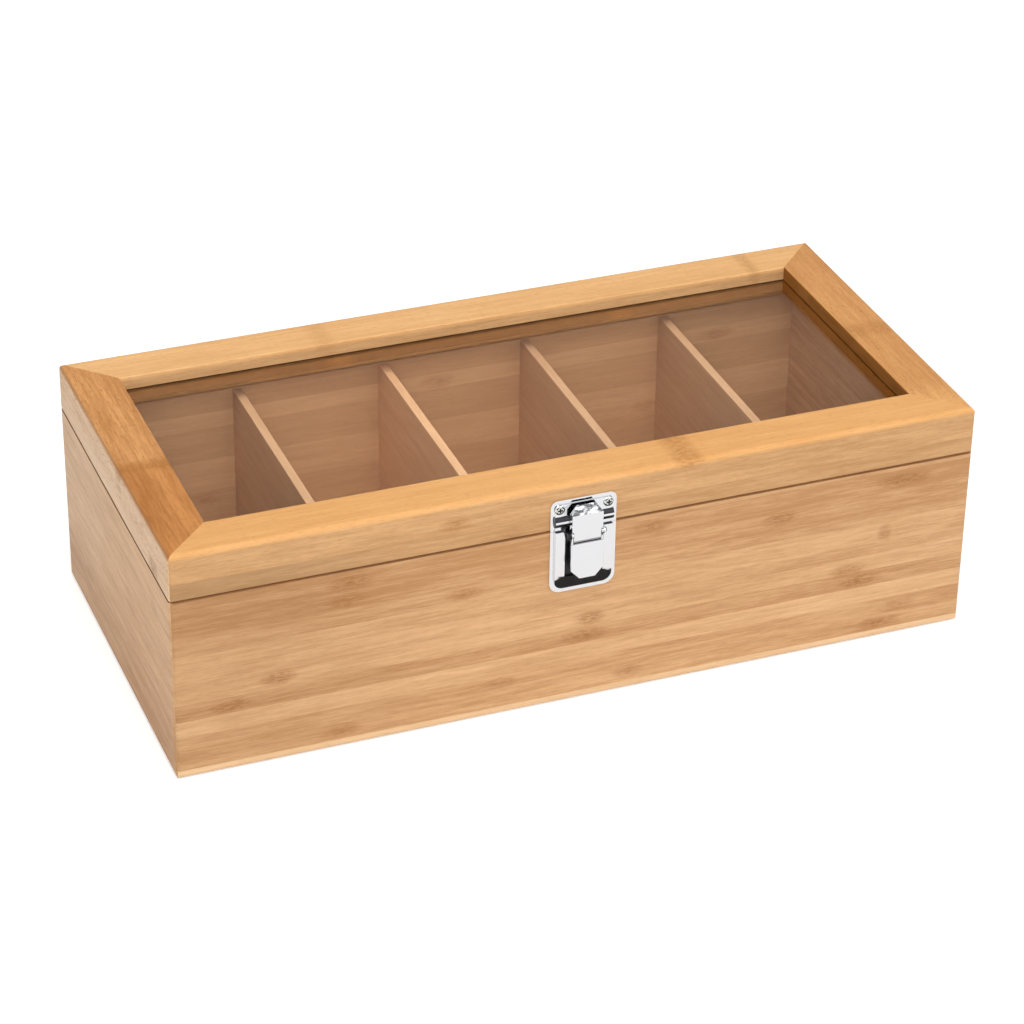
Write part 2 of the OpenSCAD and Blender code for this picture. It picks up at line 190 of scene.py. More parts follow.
def new_object(name, data):
    """A piece made of a mesh, or a lamp, put in the scene."""
    made = bpy.data.objects.new(name, data)
    bpy.context.scene.collection.objects.link(made)
    return made


def run_tree(name, mesh, tree, values):
    """A new piece: the mesh as the tree shapes it, with the tree's modifier taken off again."""
    piece = new_object(name, mesh)
    modifier = piece.modifiers.new(tree.name, "NODES")
    modifier.node_group = tree
    for item in tree.interface.items_tree:
        if item.name in values and item.in_out == "INPUT":
            modifier[item.identifier] = values[item.name]
    keep_shape(piece)
    return piece


def settle(piece, crease=35, turn=None):
    """Turns the mesh in place, points its faces outwards, and shades its round edges smooth."""
    shell = bmesh.new()
    shell.from_mesh(piece.data)
    if turn is not None:
        bmesh.ops.transform(shell, matrix=turn, verts=shell.verts)
    bmesh.ops.recalc_face_normals(shell, faces=shell.faces)
    shell.to_mesh(piece.data)
    shell.free()
    piece.data.shade_smooth()
    piece.data.set_sharp_from_angle(angle=math.radians(crease))
    flats = piece.modifiers.new("flat faces stay flat", "WEIGHTED_NORMAL")
    flats.keep_sharp = True
    flats.weight = 100
    keep_shape(piece)
    return piece


def eased_outline(corners):
    """Points of a closed outline from corners given as (across, up, radius)."""
    points = []
    for i, (x, z, radius) in enumerate(corners):
        here = Vector((x, z))
        before = (Vector(corners[i - 1][:2]) - here).normalized()
        after = (Vector(corners[(i + 1) % len(corners)][:2]) - here).normalized()
        if not radius:
            points.append(here)
            continue
        half_angle = before.angle(after) / 2
        centre = here + (before + after).normalized() * radius / math.sin(half_angle)
        start = here + before * radius / math.tan(half_angle) - centre
        stop = here + after * radius / math.tan(half_angle) - centre
        steps = 3 if radius < 1 else 6
        turn = start.angle_signed(stop)
        for k in range(steps + 1):
            points.append(centre + Matrix.Rotation(-turn * k / steps, 2) @ start)
    return points


def section_mesh(outline, front):
    """The section as a flat face that the board tree draws out: across is Y, and up is Z."""
    mesh = bpy.data.meshes.new("section")
    points = [(-(front + p.x) * MM, -p.y * MM, 0) for p in outline]
    mesh.from_pydata(points, [], [list(range(len(points)))])
    return mesh


board_tree = mitred_board_tree()


def cut_back_bevel(board, up):
    """Takes the back bevel off a side board's end: up is 1 on the lid, and -1 on the case."""
    shell = bmesh.new()
    shell.from_mesh(board.data)
    cut = bmesh.ops.bisect_plane(
        shell, geom=shell.verts[:] + shell.edges[:] + shell.faces[:], dist=0.0000001,
        plane_co=Vector((0, case_d / 2 - pin_inset, pin_z)) * MM,
        plane_no=(0, stop_slope, -up), clear_outer=True)
    rim = [part for part in cut["geom_cut"] if isinstance(part, bmesh.types.BMEdge)]
    bmesh.ops.holes_fill(shell, edges=rim, sides=0)
    shell.to_mesh(board.data)
    shell.free()
    settle(board)


def mitred_board(name, side, corners, material, bevel_up=0):
    """A board on one side of the box: 0 is the front, 1 the right, 2 the back, 3 the left.
    A side board's back end is bevelled if bevel_up is 1, for the lid, or -1, for the case."""
    length, across = ((case_w, case_d), (case_d, case_w))[side % 2]
    piece = run_tree(name, section_mesh(eased_outline(corners), -across / 2), board_tree, {
        "Length": length * MM, "Front": -across / 2 * MM, "Corner Radius": corner_r * MM,
        "Corner Steps": corner_steps, "Material": material})
    settle(piece, turn=Matrix.Rotation(math.radians(90 * side), 4, "Z"))
    if side % 2 and bevel_up:
        cut_back_bevel(piece, bevel_up)
    return piece


def mix_colors(tree, share, first, second):
    """The first colour, with a share of the second mixed in."""
    mix = add(tree, "ShaderNodeMix", {0: share, 6: first, 7: second}, data_type="RGBA")
    return mix.outputs[2]


def bamboo_grain_group():
    """Pressed bamboo: strips, long streaks, fine fibres and the knots across the strips."""
    tree, given, result = new_group(
        "bamboo grain", "ShaderNodeTree",
        {"Along": 0.0, "Across": 0.0, "Depth": 0.0, "Strip Height": 0.008, "Strip Start": 0.0,
         "Strip Tone": 0.5, "Tone Strength": 0.5, "Knot Gap": 0.2, "Random Knots": 1.0,
         "Placed Knots": 0.0, "Pores": 0.2, "Seed": 0.0, "Pale": "Color", "Dark": "Color",
         "Knot": "Color"}, {"Color": "Color", "Roughness": 0.4, "Height": 0.0})

    # Which strip this is, and how far across it
    level = calc(tree, "DIVIDE", calc(tree, "SUBTRACT", given["Across"], given["Strip Start"]),
                 given["Strip Height"])
    strip = calc(tree, "FLOOR", level)
    within = calc(tree, "SUBTRACT", level, strip)
    chance = add(tree, "ShaderNodeTexWhiteNoise",
                 {"W": calc(tree, "MULTIPLY_ADD", given["Seed"], 7.31, strip)},
                 noise_dimensions="1D").outputs
    shift = calc(tree, "MULTIPLY_ADD", chance["Value"], 4.0, given["Seed"])

    def streaks(per_along, per_across, detail):
        """Noise drawn out along the grain, at so many waves to the metre each way."""
        space = add(tree, "ShaderNodeCombineXYZ", {
            "X": calc(tree, "MULTIPLY_ADD", given["Along"], per_along, shift),
            "Y": calc(tree, "MULTIPLY", given["Across"], per_across),
            "Z": calc(tree, "MULTIPLY", given["Depth"], per_across)})
        return add(tree, "ShaderNodeTexNoise", {
            "Vector": space, "Scale": 1, "Detail": detail, "Roughness": 0.6}).outputs["Fac"]

    drift = streaks(9, 110, 3)
    streak = streaks(38, 620, 4)
    fibre = streaks(150, 2400, 3)
    pores = ease(tree, streaks(260, 3300, 1), 0.58, 0.72)

    # Knots: one to each knot gap along a strip, shifted and faded at random
    run = calc(tree, "MULTIPLY_ADD", chance["Value"], 3.0,
               calc(tree, "DIVIDE", given["Along"], given["Knot Gap"]))
    cell = calc(tree, "FLOOR", run)
    lot = add(tree, "ShaderNodeTexWhiteNoise", {
        "Vector": add(tree, "ShaderNodeCombineXYZ", {
            "X": cell, "Y": strip, "Z": given["Seed"]})},
        noise_dimensions="3D").outputs["Value"]
    offset = calc(tree, "SUBTRACT", calc(tree, "SUBTRACT", run, cell),
                  calc(tree, "MULTIPLY_ADD", lot, 0.5, 0.25))
    away = calc(tree, "ABSOLUTE", calc(tree, "MULTIPLY", offset, given["Knot Gap"]))
    beside = calc(tree, "ABSOLUTE", calc(tree, "SUBTRACT", within, 0.5))
    random_knot = calc(tree, "MULTIPLY", ease(tree, away, 0.002, 0.009, 1, 0),
                       ease(tree, beside, 0.3, 0.5, 1, 0))
    random_knot = calc(tree, "MULTIPLY", random_knot, given["Random Knots"])
    knots = calc(tree, "MAXIMUM", random_knot, given["Placed Knots"])
    flecks = ease(tree, streaks(330, 1300, 3), 0.42, 0.58)
    knots = calc(tree, "MULTIPLY", knots, calc(tree, "MULTIPLY_ADD", flecks, 0.6, 0.4))

    # Tone: the strip's own, then the drift and streaks in it
    tone = calc(tree, "MULTIPLY", given["Strip Tone"], given["Tone Strength"])
    for noise, low, high, share in ((drift, 0.32, 0.68, 0.26), (streak, 0.32, 0.68, 0.28),
                                    (fibre, 0.35, 0.65, 0.18)):
        tone = calc(tree, "MULTIPLY_ADD", ease(tree, noise, low, high), share, tone)
    color = mix_colors(tree, tone, given["Pale"], given["Dark"])
    glue_line = ease(tree, beside, 0.47, 0.5)
    for mark, share in ((pores, given["Pores"]), (knots, 0.72), (glue_line, 0.08)):
        color = mix_colors(tree, calc(tree, "MULTIPLY", mark, share), color, given["Knot"])
    tree.links.new(color, result["Color"])
    tree.links.new(calc(tree, "MULTIPLY_ADD", streak, 0.18, 0.33), result["Roughness"])
    bumps = calc(tree, "MULTIPLY_ADD", fibre, 0.5, calc(tree, "MULTIPLY", streak, 0.5))
    tree.links.new(calc(tree, "MULTIPLY_ADD", knots, -0.3, bumps), result["Height"])
    return tree


def placed_knot_group():
    """One knot where the maker's board has it: a soft spot, kept where it is the stronger."""
    tree, given, result = new_group(
        "placed knot", "ShaderNodeTree",
        {"Along": 0.0, "Across": 0.0, "At Along": 0.0, "At Across": 0.0, "Half Length": 0.007,
         "Half Height": 0.004, "Strength": 1.0, "Others": 0.0}, {"Knots": 0.0})
    sides = []
    for axis, reach in (("Along", "Half Length"), ("Across", "Half Height")):
        off = calc(tree, "ABSOLUTE", calc(tree, "SUBTRACT", given[axis], given["At " + axis]))
        sides.append(calc(tree, "POWER", calc(tree, "DIVIDE", off, given[reach]), 2))
    near = calc(tree, "SUBTRACT", 1, calc(tree, "ADD", *sides))
    spot = calc(tree, "MULTIPLY", calc(tree, "SMOOTH_MAX", near, 0, 0.3), given["Strength"])
    tree.links.new(calc(tree, "MAXIMUM", spot, given["Others"]), result["Knots"])
    return tree


bamboo_grain = bamboo_grain_group()
placed_knot = placed_knot_group()


def new_finish(name, values):
    """A material with these values on its shader, its node tree, and the shader itself."""
    material = bpy.data.materials.new(name)
    material.use_nodes = True
    shader = material.node_tree.nodes["Principled BSDF"]
    for socket, value in values.items():
        shader.inputs[socket].default_value = value
    return material, material.node_tree, shader


def rough_up(tree, shader, strength, distance, height):
    """Gives the shader a relief of that strength, and up to that many metres high."""
    relief = add(tree, "ShaderNodeBump",
                 {"Strength": strength, "Distance": distance, "Height": height})
    tree.links.new(relief.outputs[0], shader.inputs["Normal"])


def place_on(tree):
    """The object's own X, Y and Z at a point of its surface."""
    return add(tree, "ShaderNodeSeparateXYZ",
               {0: add(tree, "ShaderNodeTexCoord").outputs["Object"]}).outputs


def bamboo(name, along, across, depth, pale, dark, knot, seed, strip=strip_h,
           start=strip_start, tones=None, strength=0.6, knots=(), gap=150, zones=(), shine=0.3,
           pores=0.2):
    """A bamboo finish. Its strips run along one axis and lie over each other across another.
    A zone is an axis, where along it other colours start and are full, and the two colours."""
    material, tree, shader = new_finish(name, {"Specular IOR Level": shine})
    at = place_on(tree)
    level = calc(tree, "DIVIDE", calc(tree, "SUBTRACT", at[across], start * MM), strip * MM)
    if tones:
        ramp = add(tree, "ShaderNodeValToRGB",
                   {0: calc(tree, "DIVIDE", calc(tree, "ADD", level, 1), len(tones))})
        ramp.color_ramp.interpolation = "CONSTANT"
        for i, tone in enumerate(tones):
            stops = ramp.color_ramp.elements
            stop = stops[i] if i < 2 else stops.new(i / len(tones))
            stop.position = i / len(tones)
            stop.color = (tone, tone, tone, 1)
        strip_tone = ramp.outputs[0]
    else:
        strip_tone = add(tree, "ShaderNodeTexWhiteNoise", {
            "W": calc(tree, "ADD", calc(tree, "FLOOR", level), seed * 3.7)},
            noise_dimensions="1D").outputs["Value"]
    pale, dark = (*pale, 1), (*dark, 1)
    for axis, begin, full, zone_pale, zone_dark in zones:
        share = ease(tree, at[axis], begin * MM, full * MM)
        pale = mix_colors(tree, share, pale, (*zone_pale, 1))
        dark = mix_colors(tree, share, dark, (*zone_dark, 1))
    placed = 0.0
    for at_along, at_across, half_length, half_height, force in knots:
        placed = add(tree, "ShaderNodeGroup", {
            "Along": at[along], "Across": at[across], "At Along": at_along * MM,
            "At Across": at_across * MM, "Half Length": half_length * MM,
            "Half Height": half_height * MM, "Strength": force, "Others": placed},
            node_tree=placed_knot).outputs[0]
    grain = add(tree, "ShaderNodeGroup", {
        "Along": at[along], "Across": at[across], "Depth": at[depth],
        "Strip Height": strip * MM, "Strip Start": start * MM, "Strip Tone": strip_tone,
        "Tone Strength": strength, "Knot Gap": gap * MM, "Random Knots": float(not knots),
        "Placed Knots": placed, "Pores": pores, "Seed": float(seed), "Pale": pale, "Dark": dark,
        "Knot": (*knot, 1)}, node_tree=bamboo_grain)
    tree.links.new(grain.outputs["Color"], shader.inputs["Base Color"])
    tree.links.new(grain.outputs["Roughness"], shader.inputs["Roughness"])
    rough_up(tree, shader, 0.12, 0.0004, grain.outputs["Height"])
    return material


# Colours come in pairs, a pale and a dark one, and the grain lies between the two.
case_colors = ((0.87, 0.545, 0.285), (0.5, 0.25, 0.1))
case_knot = (0.33, 0.125, 0.03)
# Painted light: the rounded foot faces down, and its colours are paler.
foot_light_colors = ((0.88, 0.6, 0.35), (0.68, 0.42, 0.205))
# Painted shade: the front board's left end is darker.
front_left_shade_colors = ((0.75, 0.462, 0.235), (0.432, 0.212, 0.083))
# Painted shade inside the box, on the back board: darker and lower in contrast.
back_inside_shade_colors = ((0.715, 0.425, 0.215), (0.56, 0.315, 0.148))
# The side boards' far end is paler: partly its own tone, partly painted sheen.
side_far_sheen_colors = ((0.9, 0.605, 0.355), (0.53, 0.285, 0.13))
# Painted shade inside the box, on the side boards.
side_inside_shade_colors = ((0.75, 0.465, 0.26), (0.43, 0.212, 0.092))

# Where the other colours of a board start and are full: the front board's left end, in painted
# shade, its rounded foot, in painted light, the side boards' far end, partly painted sheen,
# and inside the box, in painted shade.
front_left = (-40, -150)
foot_band = (4.5, 3.9)
side_far = (-20, 60)
back_inside = (case_d / 2 - 6, case_d / 2 - 10)
side_inside = (case_w / 2 - 5, case_w / 2 - 10)

# Knots, as (along the board from its middle, above the foot, half length, half height,
# strength), and the tone of each strip from the foot up, 0 for the palest.
front_knots = [
    (-104, 80.4, 12, 4, 1.0), (-106, 72.2, 11, 4, 0.9), (-55, 64.3, 10, 4, 0.8),
    (30, 80, 11, 4, 0.9), (90, 71.5, 10, 4, 1.0), (148, 79.5, 15, 4, 1.1),
    (141, 54, 4, 5, 0.8), (3, 40.3, 8, 4, 1.0), (0, 32.2, 13, 4, 0.9),
    (-136, 41, 9, 4, 1.0), (-157, 32, 11, 4, 1.1), (124, 38, 10, 4, 0.8),
    (129, 31.6, 13, 4, 1.0), (-110, 8.3, 10, 4, 0.7), (21, 9, 8, 4, 0.7),
    (141, 8, 12, 4, 0.9), (-38, 16, 9, 4, 0.6), (150, 15, 11, 4, 0.6)]
side_knots = [(-20, 54, 6, 4, 0.25), (48, 22, 7, 4, 0.4), (-61, 71, 8, 4, 0.4)]
back_knots = [(-150, 72, 9, 4, 0.5), (-98, 64, 8, 4, 0.4), (-60, 16, 9, 4, 0.7),
              (-34, 56, 8, 4, 0.4), (-8, 72, 10, 4, 0.6), (38, 48, 9, 4, 0.4),
              (62, 24, 8, 4, 0.7), (96, 40, 8, 4, 0.5), (131, 72, 10, 4, 0.7),
              (-120, 32, 9, 4, 0.6), (158, 16, 8, 4, 0.6)]
front_tones = [0.00, 0.56, 0.5, 0.05, 0.74, 0.32, 0.4, 0.35, 0.65, 0.84, 0.96, 0.68]
# On the side boards the strips grow darker towards the foot.
side_tones = [0.99, 0.83, 0.85, 0.59, 0.38, 0.31, 0.28, 0.21, 0.1, 0.23, 0.12, 0.00]

# The axes along a board's strips, across them, and into the board
front_axes = ("X", "Z", "Y")
side_axes = ("Y", "Z", "X")
front_bamboo = bamboo("bamboo front board", *front_axes, *case_colors, case_knot, 1,
                      tones=front_tones, knots=front_knots,
                      zones=[("X", *front_left, *front_left_shade_colors),
                             ("Z", *foot_band, *foot_light_colors)])
back_bamboo = bamboo("bamboo back board", *front_axes, *case_colors, case_knot, 2,
                     knots=back_knots, zones=[("Y", *back_inside, *back_inside_shade_colors)])
side_bamboos = [
    bamboo("bamboo side board " + side, *side_axes, *case_colors, case_knot, seed,
           tones=side_tones, knots=side_knots,
           zones=[("Y", *side_far, *side_far_sheen_colors),
                  ("X", *(sign * x for x in side_inside), *side_inside_shade_colors)])
    for side, seed, sign in (("right", 3, 1), ("left", 4, -1))]


def repaint(piece, material, wanted):
    """Gives the material to the faces wanted, each judged by its middle in mm and its normal."""
    piece.data.materials.append(material)
    for face in piece.data.polygons:
        if wanted(face.center / MM, face.normal):
            face.material_index = len(piece.data.materials) - 1


# Painted shade: the outer arris of the case's rim is darker, for the shade in the seam under the
# lid.
seam_shade_colors = ((0.33, 0.16, 0.065), (0.23, 0.105, 0.04))
edge_shade = bamboo("bamboo seam edge in painted shade", *front_axes, *seam_shade_colors, case_knot, 7,
                    shine=0.1)
wall_corners = [(0, 0, foot_r), (rebate_d, 0, 0), (rebate_d, bottom_t, 0), (wall_t, bottom_t, 0),
                (wall_t, rim_z, arris_r), (0, rim_z, arris_r)]
bevel_top = pin_inset - (pin_z - rim_z) / stop_slope
back_wall_corners = wall_corners[:-1] + [(bevel_top, rim_z, 0),
                                         (0, pin_z - pin_inset * stop_slope, 0)]
for side, (board, corners, finish) in enumerate((
        ("front", wall_corners, front_bamboo), ("right", wall_corners, side_bamboos[0]),
        ("back", back_wall_corners, back_bamboo), ("left", wall_corners, side_bamboos[1]))):
    wall = mitred_board("case_board_" + board, side, corners, finish, -1)
    outwards = Matrix.Rotation(math.radians(90 * side), 3, "Z") @ Vector((0, -1, 0))
    # Painted shade along the seam, on the rim's outer arris of the front and side boards.
    if board != "back":
        repaint(wall, edge_shade, lambda at, n: (
            at.z > rim_z - arris_r and min(n.dot(outwards), n.z) > 0.2))
    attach(wall, "case")
    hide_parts(board + "_panel")


# ---- Bottom panel ----
# One sheet of pressed bamboo with eased arrises and broader strips than the walls have. It is
# glued into the rebate round their foot, flush below.

bottom_play = 0.15
bottom_arris = 0.3
bottom_strip, bottom_start = 20, -2
bottom_colors = ((0.56, 0.345, 0.175), (0.43, 0.235, 0.105))


def mesh_of(shell, name):
    """The shell as a mesh, and the shell given up."""
    mesh = bpy.data.meshes.new(name)
    shell.to_mesh(mesh)
    shell.free()
    return mesh


def eased_block(name, low, high, radius, material):
    """A board cut square, from its lowest to its highest corner in mm, with eased arrises."""
    shell = bmesh.new()
    bmesh.ops.create_cube(shell, size=1)
    for vert in shell.verts:
        vert.co = Vector((high[i] if vert.co[i] > 0 else low[i]) * MM for i in range(3))
    bmesh.ops.bevel(shell, geom=shell.edges, offset=radius * MM, segments=2, profile=0.5,
                    affect="EDGES")
    mesh = mesh_of(shell, name)
    mesh.materials.append(material)
    return new_object(name, mesh)


bottom_knots = [(-140, 48, 7, 5, 0.5), (-70, -32, 8, 5, 0.4), (5, 28, 7, 5, 0.5),
                (66, -12, 8, 5, 0.4), (132, -52, 7, 5, 0.5), (-20, -72, 8, 5, 0.4)]
bottom_bamboo = bamboo("bamboo bottom sheet", "X", "Y", "Z", *bottom_colors, case_knot, 5,
                       strip=bottom_strip, start=bottom_start, strength=0.4,
                       knots=bottom_knots)
half_w = case_w / 2 - rebate_d - bottom_play
half_d = case_d / 2 - rebate_d - bottom_play
bottom = settle(eased_block("bottom_sheet", (-half_w, -half_d, 0), (half_w, half_d, bottom_t),
                            bottom_arris, bottom_bamboo))
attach(bottom, "case")
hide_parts("bottom_panel")


# ---- Dividers ----
# Four thin sheets of bamboo, slid down into upright dados in the front and back boards. They
# stand at one pitch, which leaves five equal compartments. The second sheet is paler.

divider_t = 4
divider_count = 4
divider_drop = 0.5
divider_arris = 0.35
dado_depth = 4
compartment_w = (case_w - 2 * wall_t - divider_count * divider_t) / (divider_count + 1)
divider_pitch = compartment_w + divider_t


def row_tree():
    """Sets copies of a piece along a line, or pairs of copies, where a pair has a step."""
    tree, given, result = new_group(
        "row of copies", "GeometryNodeTree",
        {"Geometry": "Geometry", "Start": "Vector", "Count": 2, "Pitch": "Vector",
         "Copies Each": 1, "Step": "Vector", "Material": "Material"}, {"Geometry": "Geometry"})
    row = add(tree, "GeometryNodeMeshLine", {
        "Count": given["Count"], "Start Location": given["Start"], "Offset": given["Pitch"]})
    each = add(tree, "GeometryNodeMeshLine", {
        "Count": given["Copies Each"], "Offset": given["Step"]})
    spots = add(tree, "GeometryNodeInstanceOnPoints", {"Points": row, "Instance": each})
    spots = add(tree, "GeometryNodeRealizeInstances", {"Geometry": spots})
    copies = add(tree, "GeometryNodeInstanceOnPoints", {
        "Points": spots, "Instance": given["Geometry"]})
    finish_tree(tree, result, copies, given["Material"])
    return tree


copies_tree = row_tree()
divider_colors = ((0.65, 0.388, 0.212), (0.49, 0.266, 0.131))
pale_colors = ((0.82, 0.49, 0.268), (0.62, 0.34, 0.168))
change = 4
divider_bamboo = bamboo("bamboo divider sheet", *side_axes, *divider_colors, case_knot, 6,
                        strip=40, strength=0.25, gap=260,
                        zones=[("X", -divider_pitch, change - divider_pitch, *pale_colors),
                               ("X", -change, 0, *divider_colors)])
divider_half = case_d / 2 - wall_t + dado_depth
one_divider = eased_block("one divider", (-divider_t / 2, -divider_half, bottom_t),
                          (divider_t / 2, divider_half, rim_z - divider_drop),
                          divider_arris, divider_bamboo)
dividers = run_tree("divider_sheets", one_divider.data.copy(), copies_tree, {
    "Start": ((1 - divider_count) / 2 * divider_pitch * MM, 0, 0), "Count": divider_count,
    "Pitch": (divider_pitch * MM, 0, 0), "Copies Each": 1, "Material": divider_bamboo})
bpy.data.objects.remove(one_divider)
settle(dividers)
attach(dividers, "case")
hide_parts(*["divider_%d" % (i + 1) for i in range(divider_count)])


# ---- Lid skirt ----
# Four low bamboo boards under the window frame, with the lid's share of the back bevel. They
# are mitred and glued at the corners, and glued to the rails above them.

rail_t = 13.5
rail_z = case_h - rail_t
skirt_corners = [(0, lid_z, arris_r), (wall_t, lid_z, arris_r), (wall_t, rail_z, 0),
                 (0, rail_z, 0)]
bevel_foot = pin_inset - (lid_z - pin_z) / stop_slope
back_skirt_corners = [(0, pin_z + pin_inset * stop_slope, 0), (bevel_foot, lid_z, 0),
                      (wall_t, lid_z, arris_r), (wall_t, rail_z, 0), (0, rail_z, 0)]
skirt_colors = ((0.79, 0.475, 0.23), (0.49, 0.255, 0.1))
# Painted shade: the front skirt's left end is darker.
skirt_left_shade_colors = ((0.595, 0.355, 0.17), (0.368, 0.191, 0.074))
# The side skirts are paler: partly their own tone, partly painted sheen.
side_skirt_sheen_colors = ((0.98, 0.72, 0.475), (0.7, 0.405, 0.205))
skirt_left = (-60, -150)
skirt_knots = [(-33, 90.5, 9, 4, 0.4), (120, 92, 9, 4, 0.3)]
side_skirt_gap = 330
front_skirt = {"tones": [0.4, 0.55, 0.45], "knots": skirt_knots,
               "zones": [("X", *skirt_left, *skirt_left_shade_colors)]}
for side, (board, corners, colors, marks) in enumerate((
        ("front", skirt_corners, skirt_colors, front_skirt),
        ("right", skirt_corners, side_skirt_sheen_colors, {"gap": side_skirt_gap}),
        ("back", back_skirt_corners, skirt_colors, {}),
        ("left", skirt_corners, side_skirt_sheen_colors, {"gap": side_skirt_gap}))):
    finish = bamboo("bamboo %s skirt" % board, *(front_axes, side_axes)[side % 2], *colors,
                    case_knot, 11 + side, start=lid_z, **marks)
    skirt = mitred_board("lid_skirt_" + board, side, corners, finish, 1)
    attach(skirt, "lid")
    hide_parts("lid_" + board + "_skirt")


# ---- Window frame ----
# Four mitred rails of warmer bamboo, face grain up, with the outer edge rounded over and a
# groove inside for the pane. A knot or two crosses each rail. The groove and some inner
# edges carry painted shade.

rail_w = 22
top_r, inner_r = 3, 0.6
pane_t, pane_drop, pane_bite, pane_play = 2, 6.3, 5, 0.2
pane_z = case_h - pane_drop - pane_t
groove_x = rail_w - pane_bite - pane_play
groove_top = pane_z + pane_t + pane_play
lip_shade_h, groove_shade_top = 0.6, groove_top + 0.1
rail_corners = [(0, rail_z, 0), (rail_w, rail_z, arris_r), (rail_w, pane_z - lip_shade_h, 0),
                (rail_w, pane_z, 0), (groove_x, pane_z, 0), (groove_x, groove_top, 0),
                (rail_w, groove_top, 0), (rail_w, case_h, inner_r), (0, case_h, top_r)]
rail_strip = rail_t + 2
rail_tone = 0.35
rail_knot = (0.4, 0.16, 0.04)
front_face = ((0.87, 0.484, 0.188), (0.695, 0.336, 0.11))
right_face = ((0.79, 0.41, 0.155), (0.52, 0.22, 0.066))
back_face = ((0.93, 0.566, 0.257), (0.718, 0.376, 0.143))
left_face = ((0.78, 0.36, 0.116), (0.36, 0.122, 0.027))
left_far_face = ((0.9, 0.467, 0.178), (0.425, 0.163, 0.043))
left_edge = ((0.42, 0.19, 0.06), (0.3, 0.12, 0.03))
# Painted shade, in colours: in the groove, under the pane, and on the right rail's inner edge.
groove_shade_colors = ((0.16, 0.06, 0.016), (0.1, 0.038, 0.01))
lip_shade_colors = ((0.27, 0.118, 0.042), (0.185, 0.072, 0.024))
shaded_rail_edge_colors = ((0.4, 0.16, 0.032), (0.25, 0.088, 0.014))

# Where a rail's face gives way to its outer edge, where the right rail turns paler and the left
# rail's far side starts, and how far the left rail's arris is dark
edge_band = (107.8, 105.8)
right_pale = (-50, -80)
left_far = (-13, -8)
left_arris = (108.0, 107.2)
front_rail_knots = [(46.5, case_h, 8, 5, 0.85), (-58.5, 98.8, 8, 4, 0.9)]
right_rail_knots = [(-4, case_h, 8, 12, 0.65)]
back_rail_knots = [(144, case_h, 4, 12, 0.6), (-65, case_h, 6, 12, 0.35)]
left_rail_knots = [(-11.5, case_h, 5, 12, 0.8), (-14.5, case_h, 1.6, 12, 1.0)]
groove_shade = bamboo("bamboo in the groove, painted shade", *front_axes, *groove_shade_colors, rail_knot, 25,
                      shine=0.05)
lip_shade = bamboo("bamboo under the pane, painted shade", *front_axes, *lip_shade_colors, rail_knot, 26, shine=0.1)
shaded_rail_edge = bamboo("bamboo rail edge in painted shade", *side_axes, *shaded_rail_edge_colors, rail_knot, 27,
                   shine=0.1)
# Painted shade on the inner edges: the back rail's wall under the pane and its groove, and the
# right rail's whole inner edge.
inner_edges = {"back": (lip_shade, groove_shade, None), "right": (shaded_rail_edge,) * 3}
for side, (board, face, knots, zones, pores) in enumerate((
        ("front", front_face, front_rail_knots, [], 0.35),
        ("right", right_face, right_rail_knots, [("Y", *right_pale, *front_face)], 0.8),
        ("back", back_face, back_rail_knots, [], 0.35),
        ("left", left_face, left_rail_knots,
         [("Y", *left_far, *left_far_face), ("Z", *left_arris, *left_edge)], 1.0))):
    axes, band = ((front_axes, skirt_colors), (side_axes, side_skirt_sheen_colors))[side % 2]
    finish = bamboo("bamboo %s rail" % board, *axes, *face, rail_knot, 21 + side,
                    strip=rail_strip, start=rail_z - 1, tones=[rail_tone] * 2, knots=knots,
                    shine=0.2, pores=pores, zones=[*zones, ("Z", *edge_band, *band)])
    rail = mitred_board("window_rail_" + board, side, rail_corners, finish)
    inwards = Matrix.Rotation(math.radians(90 * side), 3, "Z") @ Vector((0, 1, 0))
    under, groove, over = inner_edges.get(board, (finish, groove_shade, None))
    # The inner wall under the pane: painted shade on the back and right rails, the rail's own
    # finish on the others.
    repaint(rail, under, lambda at, n: n.dot(inwards) > 0.7 and at.z < pane_z)
    if over:
        repaint(rail, over, lambda at, n: n.dot(inwards) > 0.7 and at.z > groove_top)
    # Painted shade in the groove for the pane, and on the top of the lip under it.
    repaint(rail, groove, lambda at, n: (
        n.dot(inwards) > -0.5 and pane_z - lip_shade_h < at.z < groove_shade_top))
    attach(rail, "lid")
    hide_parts("lid_" + board + "_rail")


# ---- Window pane ----
# A clear 2 mm sheet with ground edges, held loose in the grooves of the rails. The lamps'
# light goes straight through it.

pane_clear, tree, shader = new_finish("clear pane", {
    "Base Color": (0.97, 0.975, 0.97, 1), "Roughness": 0.0, "IOR": 1.5,
    "Transmission Weight": 1.0})
lamps_through = add(tree, "ShaderNodeBsdfTransparent", {"Color": (0.98, 0.98, 0.98, 1)})
seen = add(tree, "ShaderNodeMixShader", {
    0: add(tree, "ShaderNodeLightPath").outputs["Is Shadow Ray"],
    1: shader, 2: lamps_through})
tree.links.new(seen.outputs[0], tree.nodes["Material Output"].inputs["Surface"])

pane_arris = 0.25
half_w = case_w / 2 - rail_w + pane_bite
half_d = case_d / 2 - rail_w + pane_bite
pane = settle(eased_block("window_sheet", (-half_w, -half_d, pane_z),
                          (half_w, half_d, pane_z + pane_t), pane_arris, pane_clear))
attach(pane, "lid")
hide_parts("window_pane")


# ---- Hinges ----
# Two small zinc-plated butt hinges let into the back seam. The leaves and pins are the model's
# own, and their countersunk screws go up into the lid and down into the case.


